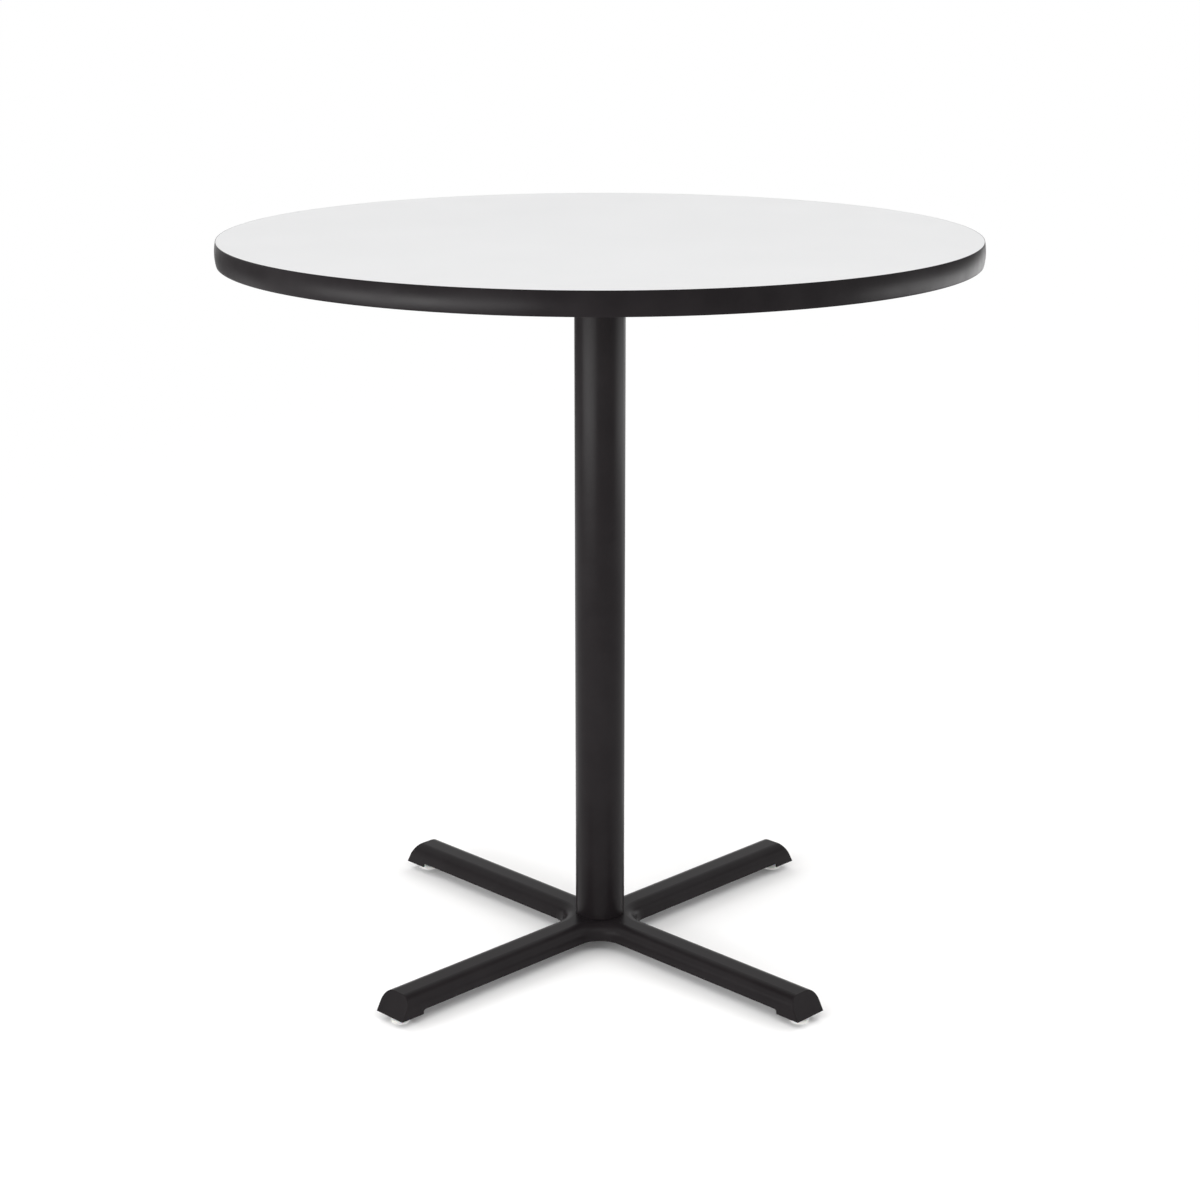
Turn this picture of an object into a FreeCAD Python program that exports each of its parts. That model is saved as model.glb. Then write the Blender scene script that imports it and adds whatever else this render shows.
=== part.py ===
# Round pedestal table of standing height: laminate top, steel column, pressed cross base, levelling glides.
# The origin is on the floor below the middle of the column, +Z is up, and the legs lie on the diagonals.

import FreeCAD
import Part
import Sketcher
import os

from FreeCAD import Placement, Rotation, Vector

# Driving dimensions in millimetres
DIMENSIONS = {
    # Table top
    "table_height": 1066.8,
    "top_diameter": 1066.8,
    "top_thickness": 31.75,
    "laminate_thickness": 0.8,
    "backer_thickness": 0.8,
    # Edge band, a T-moulding: a domed cap, and a barbed tongue in the board's kerf
    "band_crown": 2.4,
    "band_lip": 0.5,
    "band_fit": 0.1,
    "tongue_length": 10.0,
    "tongue_thickness": 1.6,
    "barb_height": 0.6,
    "barb_pitch": 2.6,
    "kerf_clearance": 0.1,
    # Mounting spider under the top
    "outer_screw_radius": 200.0,
    "inner_screw_radius": 120.0,
    "arm_width": 32.0,
    "arm_tip_depth": 9.0,
    "spider_web": 12.0,
    "rim_depth": 12.0,
    "rim_wall": 7.0,
    "rim_fit": 0.3,
    "boss_diameter": 30.0,
    "boss_depth": 14.0,
    "spotface_depth": 2.0,
    "spotface_clearance": 1.5,
    # Wood screws that hold the spider to the board
    "screw_diameter": 5.0,
    "screw_head_diameter": 10.0,
    "screw_head_height": 3.4,
    "screw_crown_diameter": 6.0,
    "screw_rim_height": 1.4,
    "screw_point_length": 5.0,
    "screw_cover": 13.0,
    "screw_fit": 0.05,
    "screw_hole_clearance": 0.4,
    # Tie rod and what it pulls against
    "rod_diameter": 12.7,
    "rod_thread_fit": 0.05,
    "rod_hole_clearance": 0.65,
    "rod_end": 3.0,
    "rod_top_gap": 2.0,
    "rod_chamfer": 1.2,
    "rod_nut_flats": 19.05,
    "rod_nut_height": 11.1,
    "washer_diameter": 34.9,
    "washer_thickness": 2.8,
    "lock_washer_diameter": 21.6,
    "lock_washer_thickness": 3.2,
    "lock_washer_gap": 2.5,
    # Column and the ring that centres its foot
    "column_diameter": 73.0,
    "column_wall": 2.0,
    "locator_height": 12.0,
    "locator_wall": 3.0,
    "locator_fit": 0.3,
    # Cross base
    "floor_gap": 12.8,
    "leg_depth": 31.3,
    "leg_width": 56.2,
    "leg_reach": 417.4,
    "end_lean": 17.5,
    "corner_radius": 18.4,
    "hub_fillet": 39.0,
    "shell_wall": 2.5,
    "lip_depth": 6.7,
    "lip_length": 39.7,
    "lip_step_radius": 4.0,
    "end_edge_radius": 1.5,
    "hub_plate_margin": 1.5,
    "hub_plate_thickness": 5.0,
    # Levelling glides
    "plate_end_gap": 8.0,
    "plate_length": 24.0,
    "plate_thickness": 3.0,
    "plate_rise": 3.2,
    "stem_diameter": 9.525,
    "stem_fit": 0.05,
    "stem_hole_clearance": 0.5,
    "stem_headroom": 8.1,
    "stem_chamfer": 0.8,
    "collar_flats": 12.7,
    "collar_height": 6.0,
    "collar_gap": 0.5,
    "glide_nut_flats": 14.29,
    "glide_nut_height": 8.3,
    "pad_diameter": 25.4,
    "pad_rim_height": 5.0,
    "pad_neck_wall": 3.2,
    "pad_floor": 3.0,
    "pad_edge_round": 1.0,
    "foot_diameter": 12.0,
    "foot_height": 2.6,
    "nut_chamfer": 0.9,
}

BARBS = 3
# Arcs along the edge band's dome, which rises as a parabola
DOME_ARCS = 8
ARMS = 4
HEXAGON = 6
LEG_ANGLE = 45.0
CORNERS = {"front_left": 225.0, "front_right": 315.0, "back_left": 135.0, "back_right": 45.0}
FULL_TURN = 360.0

# Places closer together than this, in millimetres, are the same place
NEAR = 0.01
# Points looked at along an edge, to tell which face it lies on
EDGE_SAMPLES = 3

# Places worked out from the driving dimensions, as expressions on the sheet
TOP_UNDERSIDE = "(Dims.table_height - Dims.top_thickness)"
BOARD_BOTTOM = f"({TOP_UNDERSIDE} + Dims.backer_thickness)"
BOARD_TOP = "(Dims.table_height - Dims.laminate_thickness)"
BOARD_THICKNESS = f"({BOARD_TOP} - {BOARD_BOTTOM})"
BOARD_RADIUS = "(Dims.top_diameter / 2 - Dims.band_crown)"
TONGUE_MIDDLE = "(Dims.top_thickness / 2)"
BARB_REACH = "(Dims.tongue_thickness / 2 + Dims.barb_height)"
KERF_HALF = f"({BARB_REACH} + Dims.kerf_clearance)"

COLUMN_SEAT = f"({TOP_UNDERSIDE} - Dims.spider_web)"
COLUMN_RADIUS = "(Dims.column_diameter / 2)"
COLUMN_BORE = f"({COLUMN_RADIUS} - Dims.column_wall)"
RIM_INNER = f"({COLUMN_RADIUS} + Dims.rim_fit)"
RIM_OUTER = f"({RIM_INNER} + Dims.rim_wall)"
SPIDER_DEPTH = "(Dims.spider_web + Dims.rim_depth)"
ROD_RADIUS = "(Dims.rod_diameter / 2)"
SCREW_SEAT = "(Dims.arm_tip_depth - Dims.spotface_depth)"
SCREW_HEAD_RADIUS = "(Dims.screw_head_diameter / 2)"
SCREW_BITE = f"({BOARD_THICKNESS} - Dims.screw_cover)"
SCREW_LENGTH = f"({SCREW_SEAT} + Dims.backer_thickness + {SCREW_BITE})"

LEG_TOP = "(Dims.floor_gap + Dims.leg_depth)"
ROOF = f"({LEG_TOP} - Dims.shell_wall)"
INNER_WIDTH = "(Dims.leg_width - 2 * Dims.shell_wall)"
HUB_FLAT = "(sqrt(2) * (Dims.leg_width / 2 + Dims.hub_fillet) - Dims.hub_fillet - Dims.corner_radius)"
HUB_PLATE_BOTTOM = f"({ROOF} - Dims.hub_plate_thickness)"
WASHER_BOTTOM = f"({HUB_PLATE_BOTTOM} - Dims.washer_thickness)"
LOCK_BOTTOM = f"({WASHER_BOTTOM} - Dims.lock_washer_thickness)"
ROD_NUT_BOTTOM = f"({LOCK_BOTTOM} - Dims.rod_nut_height)"
ROD_BOTTOM = f"({ROD_NUT_BOTTOM} - Dims.rod_end)"

GLIDE_STATION = "(Dims.leg_reach - Dims.plate_end_gap - Dims.plate_length / 2)"
PLATE_BOTTOM = "(Dims.floor_gap + Dims.plate_rise)"
PLATE_TOP = f"({PLATE_BOTTOM} + Dims.plate_thickness)"
STEM_RADIUS = "(Dims.stem_diameter / 2)"
STEM_BORE = f"({STEM_RADIUS} + Dims.stem_fit)"
STEM_TOP = f"({ROOF} - Dims.stem_headroom)"
COLLAR_BOTTOM = f"({PLATE_BOTTOM} - Dims.collar_height)"
PAD_HEIGHT = f"({COLLAR_BOTTOM} - Dims.collar_gap)"
FOOT_TOP = "(Dims.pad_floor + Dims.foot_height)"

doc = FreeCAD.newDocument("RoundTable")
dims = doc.addObject("Spreadsheet::Sheet", "Dims")
for row, (alias, size) in enumerate(DIMENSIONS.items(), start=1):
    dims.set(f"A{row}", alias)
    dims.set(f"B{row}", str(size))
    dims.setAlias(f"B{row}", alias)
doc.recompute()

parts = []


def value(expression):
    """The number that an expression on the sheet has now."""
    return float(dims.evalExpression(expression))


def new_body(label, height="0", angle=0.0, station="0"):
    """A body turned about Z by angle, its origin at a station along that direction and at a height."""
    body = doc.addObject("PartDesign::Body", label)
    body.Label = label
    body.Placement = Placement(Vector(), Rotation(Vector(0, 0, 1), angle))
    body.setExpression(".Placement.Base.x", f"{station} * cos({angle})")
    body.setExpression(".Placement.Base.y", f"{station} * sin({angle})")
    body.setExpression(".Placement.Base.z", height)
    parts.append(body)
    return body


def origin_feature(body, role):
    """One of the body's own origin planes or axes."""
    return next(item for item in body.Origin.OriginFeatures if item.Role == role)


def new_sketch(body, name, plane="XY_Plane", height="0"):
    """A sketch on one of the body's origin planes, raised above it by a height."""
    sketch = body.newObject("Sketcher::SketchObject", f"{body.Name}_{name}")
    sketch.AttachmentSupport = (origin_feature(body, plane), [""])
    sketch.MapMode = "FlatFace"
    sketch.setExpression(".AttachmentOffset.Base.z", height)
    return sketch


def bind(sketch, constraint, name, expression):
    """Add a dimension to a sketch and tie it to the sheet."""
    index = sketch.addConstraint(constraint)
    sketch.renameConstraint(index, name)
    sketch.setExpression(f"Constraints.{name}", expression)


def circle(sketch, name, radius, x="0"):
    """A circle on the sketch's X axis."""
    centre = Vector(value(x), 0, 0)
    geometry = sketch.addGeometry(Part.Circle(centre, Vector(0, 0, 1), value(radius)))
    bind(sketch, Sketcher.Constraint("Radius", geometry, value(radius)), f"{name}_radius", radius)
    if value(x):
        sketch.addConstraint(Sketcher.Constraint("PointOnObject", geometry, 3, -1))
        place_point(sketch, geometry, 3, "X", x, f"{name}_x")
    else:
        sketch.addConstraint(Sketcher.Constraint("Coincident", geometry, 3, -1, 1))


def rectangle(sketch, length, width, x="0"):
    """A rectangle centred on the sketch's X axis, its middle at x."""
    left = f"({x}) - ({length}) / 2"
    right = f"({x}) + ({length}) / 2"
    near = f"-({width}) / 2"
    far = f"({width}) / 2"
    outline(sketch, [(left, near), (right, near), (right, far), (left, far)])


def place_point(sketch, geometry, position, direction, expression, name):
    """Hold one coordinate of a point at its signed distance from the sketch's origin."""
    distance = value(expression)
    kind = f"Distance{direction}"
    if distance > 0:
        bind(sketch, Sketcher.Constraint(kind, -1, 1, geometry, position, distance), name, expression)
    elif distance < 0:
        away = f"-({expression})"
        bind(sketch, Sketcher.Constraint(kind, geometry, position, -1, 1, -distance), name, away)
    else:
        axis = {"X": -2, "Y": -1}[direction]
        sketch.addConstraint(Sketcher.Constraint("PointOnObject", geometry, position, axis))


def outline(sketch, corners, bulges=None):
    """A closed outline through corners given as pairs of expressions.

    bulges maps a corner's index to the rise of an arc from it to the next one, on the right of the way there.
    """
    bulges = bulges or {}
    points = [Vector(value(x), value(y), 0) for x, y in corners]
    first = sketch.GeometryCount
    starts = []
    ends = []
    for index, point in enumerate(points):
        after = points[(index + 1) % len(points)]
        if index in bulges:
            chord = after - point
            right = Vector(chord.y, -chord.x, 0).normalize()
            middle = (point + after) / 2 + right * value(bulges[index])
            geometry = sketch.addGeometry(Part.Arc(point, middle, after))
            forward = sketch.Geometry[geometry].StartPoint.distanceToPoint(point) < NEAR
            starts.append((geometry, 1 if forward else 2))
            ends.append((geometry, 2 if forward else 1))
            radius = bulge_radius(corners[index], corners[(index + 1) % len(corners)], bulges[index])
            bind(
                sketch,
                Sketcher.Constraint("Radius", geometry, value(radius)),
                f"arc_{first}_{index}",
                radius,
            )
        else:
            geometry = sketch.addGeometry(Part.LineSegment(point, after))
            starts.append((geometry, 1))
            ends.append((geometry, 2))
    for index, (x, y) in enumerate(corners):
        geometry, position = starts[index]
        sketch.addConstraint(Sketcher.Constraint("Coincident", *ends[index - 1], geometry, position))
        place_point(sketch, geometry, position, "X", x, f"x_{first}_{index}")
        place_point(sketch, geometry, position, "Y", y, f"y_{first}_{index}")


def bulge_radius(start, end, rise):
    """The radius of the arc between two corners that rises by a given height over its chord."""
    half_squared = f"((({end[0]}) - ({start[0]})) ^ 2 + (({end[1]}) - ({start[1]})) ^ 2) / 4"
    return f"({half_squared} + ({rise}) ^ 2) / (2 * ({rise}))"


def pad(body, sketch, length, symmetric=False, reverse=False):
    """Extrude a sketch into material."""
    feature = body.newObject("PartDesign::Pad", f"{sketch.Name}_pad")
    feature.Profile = sketch
    feature.SideType = "Symmetric" if symmetric else "One side"
    feature.Reversed = reverse
    feature.setExpression("Length", length)
    return feature


def pocket(body, sketch, length, symmetric=False, upward=False):
    """Cut a sketch out of the material, downward unless told otherwise."""
    feature = body.newObject("PartDesign::Pocket", f"{sketch.Name}_pocket")
    feature.Profile = sketch
    feature.SideType = "Symmetric" if symmetric else "One side"
    feature.Reversed = upward
    feature.setExpression("Length", length)
    return feature


def revolve(body, sketch, kind="Revolution"):
    """Turn a sketch in the XZ plane a full turn about its own vertical axis."""
    feature = body.newObject(f"PartDesign::{kind}", f"{sketch.Name}_turned")
    feature.Profile = sketch
    feature.ReferenceAxis = (sketch, ["V_Axis"])
    feature.Angle = FULL_TURN
    return feature


def polar_pattern(body, originals, count):
    """Repeat features evenly about the body's Z axis."""
    pattern = body.newObject("PartDesign::PolarPattern", f"{originals[0].Name}_pattern")
    pattern.Originals = originals
    pattern.Axis = (origin_feature(body, "Z_Axis"), [""])
    pattern.Angle = FULL_TURN
    pattern.Occurrences = count
    body.Tip = pattern
    return pattern


def edges_where(feature, test):
    """Names of a feature's edges that pass a test."""
    return [f"Edge{number}" for number, edge in enumerate(feature.Shape.Edges, start=1) if test(edge)]


def dress(body, kind, feature, size_name, size, names):
    """A fillet or chamfer on named edges of a feature."""
    dressed = body.newObject(f"PartDesign::{kind}", f"{feature.Name}_{kind.lower()}")
    dressed.Base = (feature, names)
    dressed.setExpression(size_name, size)
    return dressed


def hexagon(body, flats, height, base="0"):
    """A six-sided prism about the body's Z axis, standing at a height."""
    prism = body.newObject("PartDesign::AdditivePrism", f"{body.Name}_hexagon")
    prism.AttachmentSupport = (origin_feature(body, "XY_Plane"), [""])
    prism.MapMode = "FlatFace"
    prism.Polygon = HEXAGON
    prism.setExpression(".AttachmentOffset.Base.z", base)
    prism.setExpression("Circumradius", f"{flats} / 2 / cos(180 / {HEXAGON})")
    prism.setExpression("Height", height)
    return prism


def ring(label, inner, outer, thickness, height):
    """A flat ring about the Z axis, such as a washer or a tube."""
    body = new_body(label, height)
    sketch = new_sketch(body, "section")
    circle(sketch, "outer", outer)
    circle(sketch, "inner", inner)
    pad(body, sketch, thickness)
    return body


def disc(label, radius, thickness, height, angle=0.0):
    """A plain round sheet about the Z axis, turned by an angle."""
    body = new_body(label, height, angle)
    sketch = new_sketch(body, "section")
    circle(sketch, "edge", radius)
    pad(body, sketch, thickness)
    return body


def nut(label, flats, height, bore, bottom, angle=0.0, station="0"):
    """A hexagon nut with chamfered corners and a plain bore for its thread."""
    body = new_body(label, bottom, angle, station)
    hexagon(body, flats, height)
    section = new_sketch(body, "corner", "XZ_Plane")
    corner = f"({flats} / 2 / cos(180 / {HEXAGON}))"
    outside = f"({corner} + Dims.nut_chamfer)"
    inside = f"({flats} / 2)"
    slope = f"(Dims.nut_chamfer * ({outside} - {inside}) / ({corner} - {inside}))"
    outline(
        section,
        [(inside, height), (outside, f"{height} - {slope}"), (outside, height)],
    )
    revolve(body, section, "Groove")
    hole = new_sketch(body, "bore", height=height)
    circle(hole, "bore", bore)
    pocket(body, hole, height)
    return body


def top_board():
    """The particleboard disc, with its edge kerf and the pilot holes for the spider's screws."""
    body = disc("top_core", BOARD_RADIUS, BOARD_THICKNESS, BOARD_BOTTOM, LEG_ANGLE)
    kerf = new_sketch(body, "kerf", "XZ_Plane")
    middle = f"({TONGUE_MIDDLE} - Dims.backer_thickness)"
    depth = f"({BOARD_RADIUS} - Dims.tongue_length - Dims.kerf_clearance)"
    beyond = f"({BOARD_RADIUS} + Dims.band_crown)"
    low = f"{middle} - {KERF_HALF}"
    high = f"{middle} + {KERF_HALF}"
    outline(kerf, [(depth, low), (beyond, low), (beyond, high), (depth, high)])
    revolve(body, kerf, "Groove")
    pilots = new_sketch(body, "pilots")
    circle(pilots, "inner", "Dims.screw_diameter / 2 + Dims.screw_fit", "Dims.inner_screw_radius")
    circle(pilots, "outer", "Dims.screw_diameter / 2 + Dims.screw_fit", "Dims.outer_screw_radius")
    holes = pocket(body, pilots, SCREW_BITE, upward=True)
    polar_pattern(body, [holes], ARMS)


def backing_sheet():
    """The backing sheet, with clearance for the screws that pass through it."""
    body = disc("top_backer", BOARD_RADIUS, "Dims.backer_thickness", TOP_UNDERSIDE, LEG_ANGLE)
    holes = new_sketch(body, "holes")
    circle(holes, "inner", "Dims.screw_diameter / 2 + Dims.screw_fit", "Dims.inner_screw_radius")
    circle(holes, "outer", "Dims.screw_diameter / 2 + Dims.screw_fit", "Dims.outer_screw_radius")
    cut = pocket(body, holes, "Dims.backer_thickness", upward=True)
    polar_pattern(body, [cut], ARMS)


def edge_moulding():
    """The T-moulding: a domed cap round the board's edge, and a tongue whose barbs grip the kerf."""
    body = new_body("edge_band", TOP_UNDERSIDE)
    section = new_sketch(body, "section", "XZ_Plane")
    face = f"({BOARD_RADIUS} + Dims.band_fit)"
    lip = f"({face} + Dims.band_lip)"
    half = "(Dims.tongue_thickness / 2)"
    tip = f"({BOARD_RADIUS} - Dims.tongue_length)"
    upper_side = []
    lower_side = []
    for barb in range(BARBS):
        root = f"({tip} + {barb} * Dims.barb_pitch)"
        crest = f"({root} + Dims.barb_pitch)"
        upper_side += [(root, f"{TONGUE_MIDDLE} + {half}"), (crest, f"{TONGUE_MIDDLE} + {BARB_REACH}")]
        lower_side += [(root, f"{TONGUE_MIDDLE} - {half}"), (crest, f"{TONGUE_MIDDLE} - {BARB_REACH}")]
        if barb == BARBS - 1:
            upper_side.append((crest, f"{TONGUE_MIDDLE} + {half}"))
            lower_side.append((crest, f"{TONGUE_MIDDLE} - {half}"))
    corners = lower_side
    corners += [(face, f"{TONGUE_MIDDLE} - {half}"), (face, "0"), (lip, "0")]
    rise = f"(Dims.top_diameter / 2 - {lip})"
    dome = {}
    for step in range(1, DOME_ARCS + 1):
        dome[len(corners) - 1] = f"{rise} / {DOME_ARCS ** 2}"
        share = step / DOME_ARCS
        corners.append((f"{lip} + {rise} * (1 - (2 * {share} - 1) ^ 2)", f"Dims.top_thickness * {share}"))
    corners += [(face, "Dims.top_thickness"), (face, f"{TONGUE_MIDDLE} + {half}")]
    corners += upper_side[::-1]
    outline(section, corners, dome)
    revolve(body, section)


def mounting_spider():
    """The cast four-arm spider: tapped boss, rim round the column's end, tapered arms with screw seats."""
    body = new_body("top_spider", TOP_UNDERSIDE, LEG_ANGLE)
    hub = new_sketch(body, "hub", "XZ_Plane")
    bore = f"({ROD_RADIUS} + Dims.rod_thread_fit)"
    boss = "(Dims.boss_diameter / 2)"
    outline(
        hub,
        [
            (bore, "0"),
            (bore, "-(Dims.spider_web + Dims.boss_depth)"),
            (boss, "-(Dims.spider_web + Dims.boss_depth)"),
            (boss, "-Dims.spider_web"),
            (RIM_INNER, "-Dims.spider_web"),
            (RIM_INNER, f"-{SPIDER_DEPTH}"),
            (RIM_OUTER, f"-{SPIDER_DEPTH}"),
            (RIM_OUTER, "0"),
        ],
    )
    revolve(body, hub)
    side = new_sketch(body, "arm", "XZ_Plane")
    root = f"({RIM_OUTER} - Dims.rim_wall / 2)"
    outline(
        side,
        [
            (root, "0"),
            (root, f"-{SPIDER_DEPTH}"),
            (RIM_OUTER, f"-{SPIDER_DEPTH}"),
            ("Dims.outer_screw_radius", "-Dims.arm_tip_depth"),
            ("Dims.outer_screw_radius", "0"),
        ],
    )
    arm = pad(body, side, "Dims.arm_width", symmetric=True)
    tip = new_sketch(body, "tip")
    circle(tip, "tip", "Dims.arm_width / 2", "Dims.outer_screw_radius")
    end = pad(body, tip, "Dims.arm_tip_depth", reverse=True)
    features = [arm, end]
    for place in ("inner", "outer"):
        radius = f"Dims.{place}_screw_radius"
        seat = new_sketch(body, f"{place}_seat", height=f"-{SCREW_SEAT}")
        circle(seat, "seat", f"{SCREW_HEAD_RADIUS} + Dims.spotface_clearance", radius)
        features.append(pocket(body, seat, SPIDER_DEPTH))
        hole = new_sketch(body, f"{place}_hole")
        circle(hole, "hole", "Dims.screw_diameter / 2 + Dims.screw_hole_clearance", radius)
        features.append(pocket(body, hole, SPIDER_DEPTH))
    polar_pattern(body, features, ARMS)


def wood_screws():
    """The pan-head screws, all in one group, two to an arm."""
    body = new_body("spider_screws", TOP_UNDERSIDE, LEG_ANGLE)
    body.AllowCompound = True
    shank = "(Dims.screw_diameter / 2)"
    head_bottom = f"(-{SCREW_SEAT} - Dims.screw_head_height)"
    tip = f"({SCREW_LENGTH} - {SCREW_SEAT})"
    screws = []
    for place in ("inner", "outer"):
        axis = f"Dims.{place}_screw_radius"
        section = new_sketch(body, f"{place}_section", "XZ_Plane")
        outline(
            section,
            [
                (axis, head_bottom),
                (f"{axis} + Dims.screw_crown_diameter / 2", head_bottom),
                (f"{axis} + {SCREW_HEAD_RADIUS}", f"-{SCREW_SEAT} - Dims.screw_rim_height"),
                (f"{axis} + {SCREW_HEAD_RADIUS}", f"-{SCREW_SEAT}"),
                (f"{axis} + {shank}", f"-{SCREW_SEAT}"),
                (f"{axis} + {shank}", f"{tip} - Dims.screw_point_length"),
                (axis, tip),
            ],
        )
        screw = body.newObject("PartDesign::Revolution", f"{section.Name}_turned")
        screw.Profile = section
        screw.ReferenceAxis = (section, [f"Edge{section.GeometryCount}"])
        screw.Angle = FULL_TURN
        screws.append(screw)
    polar_pattern(body, screws, ARMS)


def column():
    """The column tube, from the hub up to its seat in the spider."""
    ring("column_tube", COLUMN_BORE, COLUMN_RADIUS, f"{COLUMN_SEAT} - {LEG_TOP}", LEG_TOP)
    outside = f"({COLUMN_BORE} - Dims.locator_fit)"
    ring("column_locator", f"{outside} - Dims.locator_wall", outside, "Dims.locator_height", LEG_TOP)


def clamping_rod():
    """The tie rod with chamfered ends, and the washers and nut that it pulls up under the hub."""
    body = new_body("tie_rod", ROD_BOTTOM)
    section = new_sketch(body, "section")
    circle(section, "rod", ROD_RADIUS)
    rod = pad(body, section, f"{TOP_UNDERSIDE} - Dims.rod_top_gap - {ROD_BOTTOM}")
    doc.recompute()
    ends = edges_where(rod, lambda edge: edge.BoundBox.ZLength < NEAR)
    dress(body, "Chamfer", rod, "Size", "Dims.rod_chamfer", ends)

    hole = f"{ROD_RADIUS} + Dims.rod_hole_clearance"
    ring("rod_washer", hole, "Dims.washer_diameter / 2", "Dims.washer_thickness", WASHER_BOTTOM)
    thickness = "Dims.lock_washer_thickness"
    lock = ring("rod_lock_washer", hole, "Dims.lock_washer_diameter / 2", thickness, LOCK_BOTTOM)
    split = new_sketch(lock, "split", height=thickness)
    rectangle(split, "Dims.lock_washer_diameter", "Dims.lock_washer_gap", "Dims.lock_washer_diameter / 2")
    pocket(lock, split, thickness)
    bore = f"{ROD_RADIUS} + Dims.rod_thread_fit"
    nut("rod_nut", "Dims.rod_nut_flats", "Dims.rod_nut_height", bore, ROD_NUT_BOTTOM)


def cross_base():
    """The pressed cross: two crossing bars, rounded along the top, open below, with lips at the ends."""
    body = new_body("base_shell", "Dims.floor_gap", LEG_ANGLE)
    beyond = "(2 * (Dims.leg_reach + Dims.end_lean))"
    bar = new_sketch(body, "bar")
    rectangle(bar, beyond, "Dims.leg_width")
    pad(body, bar, "Dims.leg_depth")
    crossbar = new_sketch(body, "crossbar")
    rectangle(crossbar, "Dims.leg_width", beyond)
    block = pad(body, crossbar, "Dims.leg_depth")
    doc.recompute()

    half = value("Dims.leg_width / 2")

    def inner_corner(edge):
        box = edge.BoundBox
        upright = box.ZLength > NEAR
        return upright and all(abs(abs(side) - half) < NEAR for side in (box.Center.x, box.Center.y))

    webbed = dress(body, "Fillet", block, "Radius", "Dims.hub_fillet", edges_where(block, inner_corner))
    doc.recompute()

    top = value("Dims.leg_depth")
    tip = value(beyond) / 2

    def long_top_edge(edge):
        box = edge.BoundBox
        at_end = max(abs(box.Center.x), abs(box.Center.y)) > tip - NEAR
        return abs(box.ZMin - top) < NEAR and not at_end

    dress(body, "Fillet", webbed, "Radius", "Dims.corner_radius", edges_where(webbed, long_top_edge))

    slope = new_sketch(body, "end", "XZ_Plane")
    lean = "(Dims.end_lean / Dims.leg_depth)"
    under = "-Dims.shell_wall"
    over = "(Dims.leg_depth + Dims.shell_wall)"
    outline(
        slope,
        [
            (f"Dims.leg_reach + {lean} * Dims.shell_wall", under),
            (f"{beyond} / 2 + Dims.end_lean", under),
            (f"{beyond} / 2 + Dims.end_lean", over),
            (f"Dims.leg_reach - {lean} * {over}", over),
        ],
    )
    end_cut = pocket(body, slope, "2 * Dims.leg_width", symmetric=True)
    ends = polar_pattern(body, [end_cut], ARMS)
    doc.recompute()

    below = [
        f"Face{number}"
        for number, face in enumerate(ends.Shape.Faces, start=1)
        if abs(face.BoundBox.ZMax) < NEAR
    ]
    shell = body.newObject("PartDesign::Thickness", f"{body.Name}_shell")
    shell.Base = (ends, below)
    shell.Reversed = True
    shell.Join = "Intersection"
    shell.setExpression("Value", "Dims.shell_wall")

    relief = new_sketch(body, "relief", "XZ_Plane")
    lip_start = "(Dims.leg_reach - Dims.lip_length)"
    outline(
        relief,
        [
            ("-Dims.leg_width / 2", under),
            (lip_start, under),
            (lip_start, "Dims.lip_depth - Dims.lip_step_radius"),
            (f"{lip_start} - Dims.lip_step_radius", "Dims.lip_depth"),
            ("-Dims.leg_width / 2", "Dims.lip_depth"),
        ],
        {2: "Dims.lip_step_radius * (1 - cos(45))"},
    )
    lip_cut = pocket(body, relief, "Dims.leg_width + 4 * Dims.hub_fillet", symmetric=True)
    lips = polar_pattern(body, [lip_cut], ARMS)
    doc.recompute()

    reach = value("Dims.leg_reach")
    rise = value(lean)

    def end_rim(edge):
        points = edge.discretize(EDGE_SAMPLES)
        off_face = [max(abs(point.x), abs(point.y)) + rise * point.z - reach for point in points]
        return edge.BoundBox.ZMax > NEAR and max(map(abs, off_face)) < NEAR

    dress(body, "Fillet", lips, "Radius", "Dims.end_edge_radius", edges_where(lips, end_rim))

    middle = new_sketch(body, "rod_hole", height="Dims.leg_depth")
    circle(middle, "rod_hole", f"{ROD_RADIUS} + Dims.rod_hole_clearance")
    pocket(body, middle, "2 * Dims.shell_wall")

    plate_radius = f"({HUB_FLAT} - Dims.hub_plate_margin)"
    hole = f"{ROD_RADIUS} + Dims.rod_hole_clearance"
    ring("hub_plate", hole, plate_radius, "Dims.hub_plate_thickness", HUB_PLATE_BOTTOM)


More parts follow.
